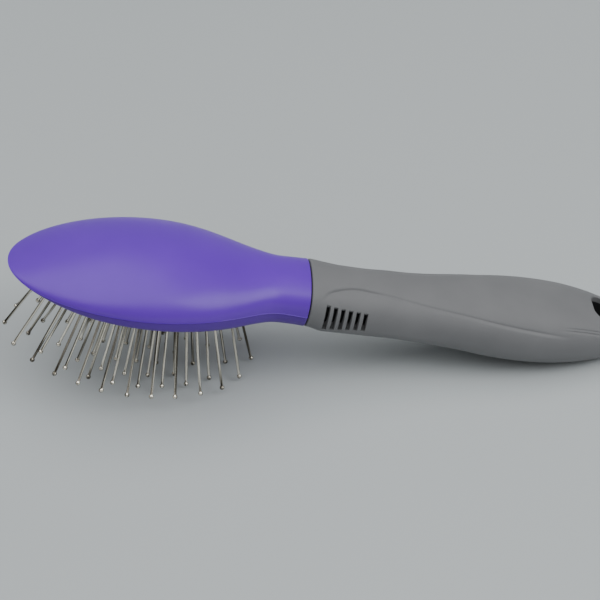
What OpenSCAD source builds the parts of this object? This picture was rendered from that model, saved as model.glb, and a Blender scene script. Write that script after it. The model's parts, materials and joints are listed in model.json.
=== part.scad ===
// Pet grooming brush: ball-tipped metal pins in an air cushion, on a soft-grip handle.
// Millimetres. The brush lies as on a table, on the tips of its lowest pins and on the heel
// of its grip. X runs from the tip of the head to the end of the grip, and Z is up.
// The shell frame has its origin on the parting plane of the head, above the cushion's middle.
// The cushion frame has its origin on the plane of the rim and is tilted to the shell frame.

/* [Head] */
// Half of the head's width at its widest place
head_half = 28.3; // [27.5:0.1:29]
// Distance from the widest place forward to the tip of the head
nose_length = 49; // [48:0.5:51]
// Distance from the widest place back to where the oval would close
shoulder_length = 52.3; // [51:0.1:54]
// Height of the domed back above the parting plane
dome_height = 13.5; // [12.8:0.1:15]
// Distance from the top of the dome back to where it would end
dome_fall = 48.2; // [46:0.1:50]
// Depth of the rim below the parting plane, at the middle of the cushion
rim_depth = 6.1; // [5.8:0.1:6.6]
// Angle between the parting plane and the plane of the rim
rim_tilt = 3.5; // [3.2:0.1:3.8]
// Depth by which the parting line dips from its plane at the joint
parting_dip = 2.5; // [0:0.1:3]
// Wall thickness of the moulded back shell
shell_wall = 2.2; // [1.8:0.1:2.4]

/* [Neck] */
// Place of the joint between head and grip
joint_x = 59.5; // [59:0.5:61]
// Open gap between head and grip
joint_gap = 0.5; // [0.3:0.1:0.8]
// Half width of the neck at the joint
neck_half = 13.8; // [13.4:0.1:14.6]
// Thickness of the neck at the joint as a share of its width
neck_flatness = 0.79; // [0.76:0.01:0.82]
// Half width of the core's tang inside the neck
tang_half = 7; // [6:0.5:7]
// Radius of the two pegs that locate the back shell on the front frame
peg_r = 1.3; // [1.1:0.1:1.4]

/* [Grip] */
// Half width of the grip at its waist
waist_half = 14.1; // [13.5:0.1:14.6]
// Half width of the grip at its swell
swell_half = 18.3; // [17.5:0.1:19]
// Place of the waist
waist_x = 92; // [90:1:95]
// Place of the swell
swell_x = 143; // [141:1:145]
// Place of the end of the grip
grip_end_x = 191.8; // [191:0.1:194]
// Thickness of the grip as a share of its width
grip_flatness = 0.71; // [0.69:0.01:0.76]
// Thickness of the soft sleeve over the hard core
sleeve_wall = 2.5; // [2.2:0.1:2.7]
// Number of slots in each flank
slot_count = 6; // [3:1:7]
// Distance from slot to slot
slot_pitch = 2.85; // [2.6:0.05:3]
// Width of a slot
slot_width = 1.6; // [1.3:0.1:1.8]
// Length of the longest slot
slot_length = 11; // [10:0.5:12]

/* [Cushion] */
// Half length of the opening in the rim
opening_half_x = 40.5; // [40.2:0.1:40.8]
// Half width of the opening in the rim
opening_half_y = 20.8; // [20.4:0.1:21.2]
// Height of the cushion's crown below the plane of the rim
crown_height = 8.4; // [8:0.1:9]
// Radius of the crown along the head
crown_radius_x = 90; // [88:1:93]
// Radius of the crown across the head
crown_radius_y = 36; // [35:0.5:38]
// Thickness of the rubber
rubber_wall = 1.8; // [1.5:0.1:2]

/* [Pins] */
// Diameter of the pin wire
wire_d = 1; // [0.9:0.05:1.1]
// Diameter of the ball at the tip of a pin
ball_d = 1.8; // [1.6:0.1:2]
// Length of a pin from the rubber to the middle of its ball
pin_reach = 27.5; // [26:0.5:28]
// Diameter of the flat head that holds a pin behind the rubber
pin_head_d = 2.8; // [2.4:0.1:3]
// Distance between the pins of the centre line
centre_pitch = 6.25; // [6:0.05:6.5]

/* [Hidden] */
// Rings of pins: name, half length, half width and number of pins
PIN_RINGS = [["outer", 35.6, 14.8, 24], ["middle", 28.5, 9.6, 18], ["inner", 19.4, 4.85, 12]];
PIN_NAMES = [for (ring = PIN_RINGS, k = [1 : ring[3]])
    str(ring[0], "_pin_", k < 10 ? "0" : "", k)];

SIDES = 40;              // points around a lofted section
CIRCLE = 32;             // sides of drawn circles
BIG = 400;               // larger than the brush
POINT = 0.05;            // half size of a section that closes to a point

widest_x = 0;            // place of the head's greatest width
tip_x = widest_x - nose_length;
dome_x = 8;              // place of the dome's top
neck_reach = 45;         // length over which the neck's width grows out of the head
crest_reach = 37;        // length over which the neck's top grows out of the dome
grip_power = 2.3;        // squareness of the grip's sections
rim_power = 4.5;         // squareness of the rim's sections
nose_power = 1.5;        // squareness of the rim's section at the tip of the head
rim_slope = 3;           // angle between the parting plane and the underside of the rim
dip_x = 11;              // place where the parting line leaves its plane

neck_axis = -1.75;       // height of the neck's middle at the joint
grip_axis = -2.9;        // height of the grip's middle at its swell
neck_thick = neck_half * neck_flatness;
neck_flare = 0.5;        // growth of the grip's underside behind the joint
flare_length = 8;

ledge_z = 2.2;           // height of the ledge that the cushion's flange lies on
flange_z = 3.4;          // top of the cushion's flange
flange_grow = 2.5;       // width of the flange beyond the opening
fit_gap = 0.2;           // clearance between moulded pieces
hole_gap = 0.04;         // radial clearance of a pin in its hole
head_plate = 0.5;        // thickness of a pin's flat head

end_wall_x = joint_x - 2.5;
tang_x = 45;             // inner end of the tang
tang_top = 4;
tang_bottom = -7.5;
stop_x = 50;             // start of the rib that keeps the tang in the neck
stop_length = 3;
stop_grow = 1.5;
peg_x = 47;
peg_y = 11.3;
peg_length = 4;
boss_r = 2.6;

slot_x = 66.4;           // place of the first slot
slot_z = -1.6;           // height of the slots' middle
slot_shorten = 0.94;     // each slot is this much shorter than the one before
loop_front_x = 172.5;    // centres and radii of the hanging hole's round corners
loop_front_y = 2.5;
loop_front_r = 4;
loop_back_x = 181;
loop_back_r = 4.5;

CENTRE_PINS = 4;         // pins on the centre line, inside the rings

// ---- curves ----

function ease(t) = (1 - cos(180 * min(1, max(0, t)))) / 2;
function mix(a, b, t) = a + (b - a) * t;
function smooth_max(a, b) = pow(pow(a, 5) + pow(b, 5), 1 / 5);
function arch(t) = sqrt(max(0, 1 - t * t));
function signed_power(v, p) = sign(v) * pow(abs(v), p);

// Half width of the head at x, with the surface moved in by inset
function head_half_at(x, inset = 0) = max(POINT, x < widest_x
    ? (head_half - inset) * arch((widest_x - x) / (nose_length - inset))
    : smooth_max(
        (head_half - inset) * pow(arch((x - widest_x) / (shoulder_length - inset)), 1.3),
        (neck_half - inset) * ease((x - widest_x) / neck_reach)));

// Height of the head above the parting plane at x
function head_top_at(x, inset = 0) = max(POINT, x < dome_x
    ? (dome_height - inset) * pow(arch((dome_x - x) / (dome_x - tip_x - inset)), 2)
    : smooth_max((dome_height - inset) * pow(arch((x - dome_x) / dome_fall), 1.7),
        (neck_thick + neck_axis - inset) * ease((x - dome_x) / crest_reach)));

// Depth of the head below the parting plane at x
function head_depth_at(x) = max(POINT, mix(
    (rim_depth + x * tan(rim_slope)) * (x < widest_x ? pow(head_half_at(x) / head_half, 0.5) : 1),
    neck_thick - neck_axis, ease((x - 36) / (joint_x - 28.5))));

// Height of the line where the back shell and the front frame meet
function parting_at(x) = -parting_dip * pow(max(0, x - dip_x) / (joint_x - dip_x), 2);

// Half width of the grip at x
function grip_half_at(x) =
    x < waist_x ? mix(neck_half, waist_half, ease((x - joint_x) / (waist_x - joint_x)))
    : x < swell_x ? mix(waist_half, swell_half, ease((x - waist_x) / (swell_x - waist_x)))
    : swell_half * pow(arch((x - swell_x) / (grip_end_x - swell_x)), 1.2);

// Half thickness of the grip at x
function grip_thick_at(x) =
    grip_half_at(x) * mix(neck_flatness, grip_flatness, ease((x - joint_x) / (waist_x - joint_x)));

// Height of the grip's middle, and of the widest line around it
function grip_axis_at(x) = mix(neck_axis, grip_axis, ease((x - 85) / 45));
function grip_split_at(x) = grip_axis_at(x) * ease((x - joint_x) / 30);

// One closed section across X: an upper and a lower half of their own height and squareness
function section(x, half, split, up, down, up_power, down_power) = [
    for (i = [0 : SIDES - 1])
        let (a = 360 * i / SIDES, s = sin(a), power = s < 0 ? down_power : up_power)
        [x, half * signed_power(cos(a), 2 / power),
            split + (s < 0 ? down : up) * signed_power(s, 2 / power)]];

function head_section(x, inset = 0) =
    let (rim = mix(nose_power, rim_power, ease((x - tip_x) / 40)))
    section(x, head_half_at(x, inset), 0, head_top_at(x, inset), head_depth_at(x),
        mix(2, grip_power, ease((x - 25) / 32)), mix(rim, grip_power, ease((x - 30) / 28)));

function grip_section(x, inset = 0) =
    let (half = max(POINT, grip_half_at(x) - inset), thick = max(POINT, grip_thick_at(x) - inset),
        axis = grip_axis_at(x), split = grip_split_at(x),
        flare = neck_flare * (1 - ease((x - joint_x) / flare_length)))
    section(x, half, split, axis + thick - split, split - axis + thick - flare,
        grip_power, grip_power);

// ---- places along the brush where sections are drawn ----

NOSE_STEPS = 14;
SHOULDER_STEPS = 12;
GRIP_STEPS = 14;
END_STEPS = 12;

function head_places(inset = 0, end = joint_x) = [
    for (i = [0 : NOSE_STEPS]) widest_x - (nose_length - inset) * cos(90 * i / NOSE_STEPS),
    for (i = [1 : SHOULDER_STEPS]) mix(widest_x, end, i / SHOULDER_STEPS)];

function grip_places(end) = [
    for (i = [0 : GRIP_STEPS]) mix(joint_x + joint_gap, swell_x, i / GRIP_STEPS),
    for (i = [1 : END_STEPS]) mix(swell_x, end, sin(90 * i / END_STEPS))];

// ---- pins ----

function oval_point(a, b, t) = [a * cos(t), b * sin(t)];

// Points at equal distances around an oval
function oval_ring(a, b, count) =
    let (travel = [for (i = 0, s = 0; i <= 360; i = i + 1,
            s = s + norm(oval_point(a, b, i) - oval_point(a, b, i - 1))) [s, i]])
    [for (k = [0 : count - 1]) oval_point(a, b, lookup(k * travel[360][0] / count, travel))];

// The first pin of a ring is the one nearest the grip, and the count goes towards +Y
RING_ROOTS = [for (ring = PIN_RINGS) each oval_ring(ring[1], ring[2], ring[3])];
CENTRE_ROOTS = [for (k = [0 : CENTRE_PINS - 1]) [(k - (CENTRE_PINS - 1) / 2) * centre_pitch, 0]];
PIN_ROOTS = concat(RING_ROOTS, CENTRE_ROOTS);

// The crown is part of a ring surface whose axis lies across the head, above the cushion
crown_axis_z = crown_radius_x - crown_height;
crown_tube_x = crown_radius_x - crown_radius_y;
function crown_lean(root) = asin(root[1] / crown_radius_y);
function crown_reach(root) = crown_tube_x + crown_radius_y * cos(crown_lean(root));
function crown_turn(root) = asin(root[0] / crown_reach(root));

// Place of a root on the crown, and the direction of its pin, square to the crown
function root_point(root) =
    [root[0], root[1], crown_axis_z - crown_reach(root) * cos(crown_turn(root))];
function pin_direction(root) = [cos(crown_lean(root)) * sin(crown_turn(root)),
    sin(crown_lean(root)), -cos(crown_lean(root)) * cos(crown_turn(root))];

// ---- the way the brush lies ----

function turn_down(p, angle) = [p[0] * cos(angle) + p[2] * sin(angle), p[1],
    p[2] * cos(angle) - p[0] * sin(angle)];
function cushion_to_shell(p) = turn_down(p, rim_tilt) - [0, 0, rim_depth];

BALLS = [for (root = PIN_ROOTS)
    cushion_to_shell(root_point(root) + pin_reach * pin_direction(root))];
GRIP_SKIN = [for (x = grip_places(grip_end_x)) each grip_section(x)];

function lowest(points, angle) = min([for (p = points) turn_down(p, angle)[2]]);
function heel_lift(angle) = lowest(GRIP_SKIN, angle) - lowest(BALLS, angle) + ball_d / 2;
// The angle at which the pins and the heel of the grip touch the table together
function find_rest(low, high, steps) = let (middle = (low + high) / 2)
    steps == 0 ? middle
    : heel_lift(middle) > 0 ? find_rest(middle, high, steps - 1)
    : find_rest(low, middle, steps - 1);

rest_angle = find_rest(5, 20, 24);
rest_height = -lowest(GRIP_SKIN, rest_angle);
rest_front = min([for (p = BALLS) turn_down(p, rest_angle)[0]]) - ball_d / 2;
rest_back = max([for (p = GRIP_SKIN) turn_down(p, rest_angle)[0]]);

module at_rest() {
    translate([-(rest_front + rest_back) / 2, 0, rest_height])
        rotate([0, rest_angle, 0])
            children();
}

module on_cushion() {
    translate([0, 0, -rim_depth])
        rotate([0, rim_tilt, 0])
            children();
}

// ---- shapes ----

// A closed solid through a list of sections
module loft(sections) {
    count = len(sections);
    points = [for (s = sections) each s];
    sides = [for (i = [0 : count - 2], k = [0 : SIDES - 1])
        let (a = i * SIDES + k, b = i * SIDES + (k + 1) % SIDES)
        each [[a, a + SIDES, b], [b, a + SIDES, b + SIDES]]];
    front = [for (k = [0 : SIDES - 1]) k];
    back = [for (k = [SIDES - 1 : -1 : 0]) (count - 1) * SIDES + k];
    polyhedron(points, concat([front], sides, [back]));
}

module oval(half_x, half_y) {
    polygon([for (i = [0 : 63]) oval_point(half_x, half_y, 360 * i / 64)]);
}

module oval_block(half_x, half_y, low, high) {
    translate([0, 0, low])
        linear_extrude(high - low)
            oval(half_x, half_y);
}

module block(low, high) {
    translate(low)
        cube(high - low);
}

module head_solid() {
    loft([for (x = head_places()) head_section(x)]);
}

// Everything below the parting line
module below_parting() {
    rotate([90, 0, 0])
        linear_extrude(BIG, center = true)
            polygon(concat([[-BIG, -BIG], [-BIG, 0]],
                [for (x = [dip_x : 4 : joint_x + 4]) [x, parting_at(x)]], [[BIG, -BIG]]));
}

module dome_hollow() {
    loft([for (x = head_places(shell_wall, end_wall_x)) head_section(x, shell_wall)]);
}

module tang_room(gap) {
    block([tang_x - gap, -tang_half - gap, tang_bottom - gap],
        [joint_x + 1, tang_half + gap, tang_top + gap]);
    block([stop_x - gap, -tang_half - stop_grow - gap, tang_bottom - stop_grow / 2 - gap],
        [stop_x + stop_length + gap, tang_half + stop_grow + gap, tang_top + stop_grow / 2 + gap]);
}

module at_pegs() {
    for (side = [-1, 1])
        translate([peg_x, side * peg_y, 0])
            children();
}

module loop_hole() {
    translate([0, 0, -BIG / 2])
        linear_extrude(BIG)
            hull() {
                for (side = [-1, 1])
                    translate([loop_front_x, side * loop_front_y])
                        circle(loop_front_r, $fn = CIRCLE);
                translate([loop_back_x, 0])
                    circle(loop_back_r, $fn = CIRCLE);
            }
}

// The solid ring body whose underside is the crown, moved in by inset
module crown_body(inset) {
    translate([0, 0, crown_axis_z])
        rotate([90, 0, 0])
            rotate_extrude($fn = 96)
                translate([crown_tube_x, 0])
                    circle(crown_radius_y - inset, $fn = 96);
}

module along_pin(root) {
    direction = pin_direction(root);
    translate(root_point(root))
        rotate([0, acos(direction[2]), atan2(direction[1], direction[0])])
            children();
}

// ---- pieces ----

module back_shell() {
    color("mediumslateblue")
        at_rest()
            difference() {
                head_solid();
                difference() {
                    union() {
                        dome_hollow();
                        below_parting();
                    }
                    at_pegs() peg();
                    clamp_rib();
                }
                tang_room(fit_gap);
            }
}

// Boss inside the back shell, with the peg that stands in the front frame
module peg() {
    cylinder(r = boss_r, h = BIG, $fn = CIRCLE);
    translate([0, 0, -peg_length])
        cylinder(r = peg_r, h = BIG, $fn = CIRCLE);
}

// Rib inside the back shell that presses the cushion's flange onto its ledge
module clamp_rib() {
    on_cushion()
        difference() {
            oval_block(opening_half_x + flange_grow - fit_gap,
                opening_half_y + flange_grow - fit_gap, flange_z, BIG);
            oval_block(opening_half_x + 0.7, opening_half_y + 0.7, flange_z - 1, BIG + 1);
        }
}

module front_frame() {
    color("slateblue")
        at_rest()
            difference() {
                intersection() {
                    head_solid();
                    below_parting();
                }
                on_cushion() {
                    oval_block(opening_half_x, opening_half_y, -BIG, ledge_z + 1);
                    oval_block(opening_half_x + flange_grow + fit_gap,
                        opening_half_y + flange_grow + fit_gap, ledge_z, BIG);
                }
                tang_room(fit_gap);
                at_pegs()
                    translate([0, 0, -peg_length - 0.5])
                        cylinder(r = peg_r + 0.1, h = BIG, $fn = CIRCLE);
            }
}

module cushion_pad() {
    edge_x = opening_half_x - fit_gap;
    edge_y = opening_half_y - fit_gap;
    color("dimgray")
        at_rest()
            on_cushion()
                difference() {
                    union() {
                        intersection() {
                            crown_body(0);
                            oval_block(edge_x, edge_y, -crown_height - 1, flange_z);
                        }
                        oval_block(opening_half_x + flange_grow, opening_half_y + flange_grow,
                            ledge_z, flange_z);
                    }
                    intersection() {
                        crown_body(rubber_wall);
                        oval_block(edge_x - rubber_wall, edge_y - rubber_wall,
                            -crown_height, flange_z + 1);
                    }
                    for (root = PIN_ROOTS)
                        along_pin(root)
                            translate([0, 0, -rubber_wall * 2])
                                cylinder(d = wire_d + 2 * hole_gap, h = rubber_wall * 3, $fn = CIRCLE);
                }
}

module handle_core() {
    color("black")
        at_rest() {
            difference() {
                loft([for (x = grip_places(grip_end_x - sleeve_wall))
                    grip_section(x, sleeve_wall)]);
                loop_hole();
            }
            loft([grip_section(joint_x, 1), grip_section(joint_x + joint_gap, 1)]);
            tang_room(0);
        }
}

module flank_slots() {
    for (i = [0 : slot_count - 1], side = [-1, 1])
        translate([slot_x + i * slot_pitch, side * neck_half, slot_z])
            cube([slot_width, neck_half, slot_length * pow(slot_shorten, i)], center = true);
}

module grip_sleeve() {
    color("gray")
        at_rest()
            difference() {
                loft([for (x = grip_places(grip_end_x)) grip_section(x)]);
                loft([for (x = grip_places(grip_end_x - sleeve_wall))
                    grip_section(x, sleeve_wall)]);
                flank_slots();
                loop_hole();
            }
}

module pin() {
    behind = rubber_wall + hole_gap;
    cylinder(d = wire_d, h = pin_reach, $fn = CIRCLE);
    translate([0, 0, -behind])
        cylinder(d = wire_d, h = behind, $fn = CIRCLE);
    translate([0, 0, -behind - head_plate])
        cylinder(d = pin_head_d, h = head_plate, $fn = CIRCLE);
    translate([0, 0, pin_reach])
        sphere(d = ball_d, $fn = CIRCLE);
}

module pins(roots) {
    color("silver")
        at_rest()
            on_cushion()
                for (root = roots)
                    along_pin(root) pin();
}

module centre_pins() {
    pins(CENTRE_ROOTS);
}

back_shell();
front_frame();
cushion_pad();
handle_core();
grip_sleeve();
centre_pins();
for (i = [0 : len(PIN_NAMES) - 1])
    pins([RING_ROOTS[i]]);
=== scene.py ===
"""Looks of the pet pin brush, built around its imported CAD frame.

Shapes are worked out in millimetres in two frames of the design. The shell frame has its origin on
the head's parting plane, with X along the brush and Z up through the back. The cushion frame has its
origin on the plane of the rim and is tilted to the shell frame. Every mesh is then written in metres
in the row frame, where the brush lies on its pin tips and on the heel of its grip.
"""

import json
import math

import bmesh
import bpy
import numpy as np
from mathutils import Matrix, Vector
from mathutils.kdtree import KDTree


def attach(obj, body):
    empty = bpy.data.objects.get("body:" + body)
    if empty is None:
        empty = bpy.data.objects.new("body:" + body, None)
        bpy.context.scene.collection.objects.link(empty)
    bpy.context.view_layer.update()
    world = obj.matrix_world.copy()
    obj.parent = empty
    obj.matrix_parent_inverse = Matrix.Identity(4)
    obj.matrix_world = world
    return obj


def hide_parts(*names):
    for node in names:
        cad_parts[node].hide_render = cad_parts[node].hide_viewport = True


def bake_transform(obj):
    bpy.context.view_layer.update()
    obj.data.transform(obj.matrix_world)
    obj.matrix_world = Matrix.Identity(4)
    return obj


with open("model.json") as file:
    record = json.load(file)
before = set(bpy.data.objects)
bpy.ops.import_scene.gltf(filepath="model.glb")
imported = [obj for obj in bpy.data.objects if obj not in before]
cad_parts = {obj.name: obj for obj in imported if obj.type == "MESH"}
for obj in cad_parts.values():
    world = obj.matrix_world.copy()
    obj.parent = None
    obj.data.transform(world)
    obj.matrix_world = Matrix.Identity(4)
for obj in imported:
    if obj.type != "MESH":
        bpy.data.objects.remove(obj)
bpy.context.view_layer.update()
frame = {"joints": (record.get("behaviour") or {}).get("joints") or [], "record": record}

MM = 0.001

# ---- driving dimensions, in millimetres and degrees, as in the design ----

HEAD_HALF, NOSE, SHOULDER = 28.3, 49.0, 52.3
WIDEST_X, DOME_X = 0.0, 8.0
DOME_HEIGHT, DOME_FALL = 13.5, 48.2
RIM_DEPTH, RIM_TILT, RIM_SLOPE = 6.1, 3.5, 3.0
PARTING_DIP, DIP_X = 2.5, 11.0
SHELL_WALL = 2.2
JOINT_X, JOINT_GAP = 59.5, 0.5
NECK_HALF, NECK_FLATNESS, NECK_AXIS = 13.8, 0.79, -1.75
NECK_REACH, CREST_REACH = 45.0, 37.0
NECK_FLARE, FLARE_LENGTH = 0.5, 8.0
WAIST_HALF, WAIST_X = 14.1, 92.0
SWELL_HALF, SWELL_X = 18.3, 143.0
GRIP_END, GRIP_FLATNESS, GRIP_AXIS = 191.8, 0.71, -2.9
SLEEVE_WALL = 2.5
OPENING_X, OPENING_Y = 40.5, 20.8
LEDGE_Z, FLANGE_Z, FLANGE_GROW = 2.2, 3.4, 2.5
CROWN_HEIGHT, CROWN_RX, CROWN_RY = 8.4, 90.0, 36.0
RUBBER_WALL = 1.8
WIRE_R, BALL_R, PIN_REACH = 0.5, 0.9, 27.5
PIN_HEAD_R, PIN_HEAD = 1.4, 0.5
FIT = 0.2
RINGS = {"outer": (35.6, 14.8, 24), "middle": (28.5, 9.6, 18), "inner": (19.4, 4.85, 12)}
CENTRE_PINS, CENTRE_PITCH = 4, 6.25
TANG_X, TANG_HALF, TANG_TOP, TANG_BOTTOM = 45, 7, 4, -7.5
STOP_X, STOP_LENGTH, STOP_GROW = 50, 3, 1.5
SLOTS, SLOT_PITCH, SLOT_WIDTH, SLOT_LENGTH = 6, 2.85, 1.6, 11.0
SLOT_X, SLOT_Z, SLOT_SHORTEN = 66.4, -1.6, 0.94
LOOP_FRONT, LOOP_FRONT_R = (172.5, 2.5), 4.0
LOOP_BACK, LOOP_BACK_R = 181.0, 4.5
TIP_X = WIDEST_X - NOSE
NECK_THICK = NECK_HALF * NECK_FLATNESS
SLEEVE_X = JOINT_X + JOINT_GAP

# Squareness of the sections
GRIP_POWER, RIM_POWER, NOSE_POWER, ROOF_POWER = 2.3, 4.5, 1.5, 2
# Fullness of the outlines: the oval's shoulders, the dome before and behind its top, the rim's
# taper towards the tip, and the end of the grip
SHOULDER_POWER, DOME_NOSE_POWER, DOME_BACK_POWER = 1.3, 2, 1.7
TAPER_POWER, GRIP_END_POWER = 0.5, 1.2
# How closely two curves meet where the larger one takes over
BLEND_POWER = 5
# Where changes along the brush start, and the length that each one takes
DEEPEN_X, DEEPEN_LENGTH = 36, 31
RIM_SQUARE_LENGTH = 40
RIM_EASE_X, RIM_EASE_LENGTH = 30, 28
ROOF_EASE_X, ROOF_EASE_LENGTH = 25, 32
AXIS_DROP_X, AXIS_DROP_LENGTH = 85, 45
SPLIT_DROP_LENGTH = 30
# Rounding of the moulded ends at the joint
END_ROUND = 0.4
# The least half sizes of a section, where the head or the grip closes to a point
HEAD_POINT, GRIP_POINT = 0.01, 0.02

# ---- curves of the design ----


def ease(t):
    return (1 - np.cos(np.pi * np.clip(t, 0, 1))) / 2


def mix(a, b, t):
    return a + (b - a) * t


def arch(t):
    return np.sqrt(np.maximum(0, 1 - np.square(t)))


def smooth_max(a, b):
    return (np.abs(a) ** BLEND_POWER + np.abs(b) ** BLEND_POWER) ** (1 / BLEND_POWER)


def smooth_step(t):
    t = np.clip(t, 0, 1)
    return t * t * (3 - 2 * t)


def edge_round(distance, radius):
    """How far a surface lies back, at that distance from an edge with a rounding."""
    left = np.clip(radius - distance, 0, radius)
    return radius - np.sqrt(radius * radius - left * left)


def head_half_at(x, inset=0.0):
    nose = (HEAD_HALF - inset) * arch((WIDEST_X - x) / (NOSE - inset))
    back = smooth_max(
        (HEAD_HALF - inset) * arch((x - WIDEST_X) / (SHOULDER - inset)) ** SHOULDER_POWER,
        (NECK_HALF - inset) * ease((x - WIDEST_X) / NECK_REACH),
    )
    half = np.where(x < WIDEST_X, nose, back)
    return np.maximum(HEAD_POINT, half - edge_round(JOINT_X - x, END_ROUND))


def head_top_at(x, inset=0.0):
    nose = (DOME_HEIGHT - inset) * arch((DOME_X - x) / (DOME_X - TIP_X - inset)) ** DOME_NOSE_POWER
    back = smooth_max(
        (DOME_HEIGHT - inset) * arch((x - DOME_X) / DOME_FALL) ** DOME_BACK_POWER,
        (NECK_THICK + NECK_AXIS - inset) * ease((x - DOME_X) / CREST_REACH),
    )
    top = np.where(x < DOME_X, nose, back)
    return np.maximum(HEAD_POINT, top - edge_round(JOINT_X - x, END_ROUND))


def head_depth_at(x):
    taper = np.where(x < WIDEST_X, (head_half_at(x) / HEAD_HALF) ** TAPER_POWER, 1.0)
    rim = (RIM_DEPTH + x * math.tan(math.radians(RIM_SLOPE))) * taper
    deep = mix(rim, NECK_THICK - NECK_AXIS, ease((x - DEEPEN_X) / DEEPEN_LENGTH))
    return np.maximum(HEAD_POINT, deep - edge_round(JOINT_X - x, END_ROUND))


def rim_power_at(x):
    """Squareness of the head's underside."""
    rim = mix(NOSE_POWER, RIM_POWER, ease((x - TIP_X) / RIM_SQUARE_LENGTH))
    return mix(rim, GRIP_POWER, ease((x - RIM_EASE_X) / RIM_EASE_LENGTH))


def parting_at(x):
    """Height of the line where the back shell and the front frame meet."""
    return -PARTING_DIP * (np.maximum(0, x - DIP_X) / (JOINT_X - DIP_X)) ** 2


def arched(share, power):
    """Height of an arch of height 1, at a share of the way from its middle to its foot."""
    return np.maximum(0, 1 - np.minimum(1, share) ** power) ** (1 / power)


def roof(x, y, inset=0.0):
    """Height of the head's back over (x, y)."""
    power = mix(ROOF_POWER, GRIP_POWER, ease((x - ROOF_EASE_X) / ROOF_EASE_LENGTH))
    return head_top_at(x, inset) * arched(np.abs(y) / head_half_at(x, inset), power)


def keel(x, y):
    """Height of the head's underside below (x, y), a negative number."""
    return -head_depth_at(x) * arched(np.abs(y) / head_half_at(x), rim_power_at(x))


def grip_half_at(x):
    neck = mix(NECK_HALF, WAIST_HALF, ease((x - JOINT_X) / (WAIST_X - JOINT_X)))
    swell = mix(WAIST_HALF, SWELL_HALF, ease((x - WAIST_X) / (SWELL_X - WAIST_X)))
    end = SWELL_HALF * arch((x - SWELL_X) / (GRIP_END - SWELL_X)) ** GRIP_END_POWER
    return np.where(x < WAIST_X, neck, np.where(x < SWELL_X, swell, end))


def grip_thick_at(x):
    flatness = mix(NECK_FLATNESS, GRIP_FLATNESS, ease((x - JOINT_X) / (WAIST_X - JOINT_X)))
    return grip_half_at(x) * flatness


def grip_axis_at(x):
    """Height of the grip's middle."""
    return mix(NECK_AXIS, GRIP_AXIS, ease((x - AXIS_DROP_X) / AXIS_DROP_LENGTH))


def grip_split_at(x):
    """Height of the widest line around the grip."""
    return grip_axis_at(x) * ease((x - JOINT_X) / SPLIT_DROP_LENGTH)


# ---- where the pins stand ----

CROWN_AXIS_Z = CROWN_RX - CROWN_HEIGHT
CROWN_TUBE_X = CROWN_RX - CROWN_RY


def oval_ring(a, b, count):
    """Points at equal distances around an oval."""
    t = np.radians(np.arange(361))
    line = np.column_stack([a * np.cos(t), b * np.sin(t)])
    travel = np.concatenate([[0], np.cumsum(np.linalg.norm(np.diff(line, axis=0), axis=1))])
    found = np.interp(np.arange(count) * travel[-1] / count, travel, t)
    return np.column_stack([a * np.cos(found), b * np.sin(found)])


def crown_z(x, y, inset=0.0):
    """Height of the cushion's crown in the cushion frame."""
    reach = CROWN_TUBE_X + np.sqrt(np.maximum(0, (CROWN_RY - inset) ** 2 - y * y))
    return CROWN_AXIS_Z - np.sqrt(np.maximum(0, reach * reach - x * x))


def pin_direction(x, y):
    """The way a pin points: square to the crown, away from the head."""
    lean = math.asin(y / CROWN_RY)
    turn = math.asin(x / (CROWN_TUBE_X + CROWN_RY * math.cos(lean)))
    return Vector((math.cos(lean) * math.sin(turn), math.sin(lean), -math.cos(lean) * math.cos(turn)))


ROOTS = {
    f"{name}_pin_{k + 1:02d}": tuple(p)
    for name, (a, b, count) in RINGS.items()
    for k, p in enumerate(oval_ring(a, b, count))
}
CENTRE_ROOTS = [((k - (CENTRE_PINS - 1) / 2) * CENTRE_PITCH, 0.0) for k in range(CENTRE_PINS)]
ALL_ROOTS = np.array(list(ROOTS.values()) + CENTRE_ROOTS)


def row_roots(body):
    """The roots of one row's pins."""
    nodes = frame["record"]["behaviour"]["bodies"][body]
    return [r for n in nodes for r in (CENTRE_ROOTS if n == "centre_pins" else [ROOTS[n]])]


# ---- the frames ----

JOINTS = {j["name"]: j for j in frame["joints"]}
PRESS_AXIS = Vector(JOINTS["cushion_press"]["axis"])
# The rows' hinges lie in the middle of the rubber, at the mean height of their pins' roots
HINGE_Z = np.mean([crown_z(*root) for root in row_roots("centre_row")]) + RUBBER_WALL / 2
CUSHION_ORIGIN = Vector(JOINTS["centre_row_tilt"]["pos_m"]) - PRESS_AXIS * HINGE_Z * MM
CUSHION_PITCH = math.atan2(PRESS_AXIS.x, PRESS_AXIS.z)
CUSHION = Matrix.Translation(CUSHION_ORIGIN) @ Matrix.Rotation(CUSHION_PITCH, 4, "Y")
CUSHION = CUSHION @ Matrix.Scale(MM, 4)
TILT = Matrix.Rotation(math.radians(RIM_TILT), 4, "Y")
SHELL = CUSHION @ TILT.inverted() @ Matrix.Translation((0, 0, RIM_DEPTH))


# ---- meshes ----


def moved(matrix, points):
    """Points of shape (n, 3), turned and moved by a 4 x 4 matrix."""
    m = np.array(matrix)
    return np.asarray(points, float) @ m[:3, :3].T + m[:3, 3]


def ring_faces(count, sides):
    """Quads between neighbouring rings of the same number of points."""
    i, k = np.meshgrid(np.arange(count - 1), np.arange(sides), indexing="ij")
    here, after = i * sides + k, i * sides + (k + 1) % sides
    return np.stack([here, after, after + sides, here + sides], -1).reshape(-1, 4).tolist()


def fan(pole, first, sides):
    return [(pole, first + k, first + (k + 1) % sides) for k in range(sides)]


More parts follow.
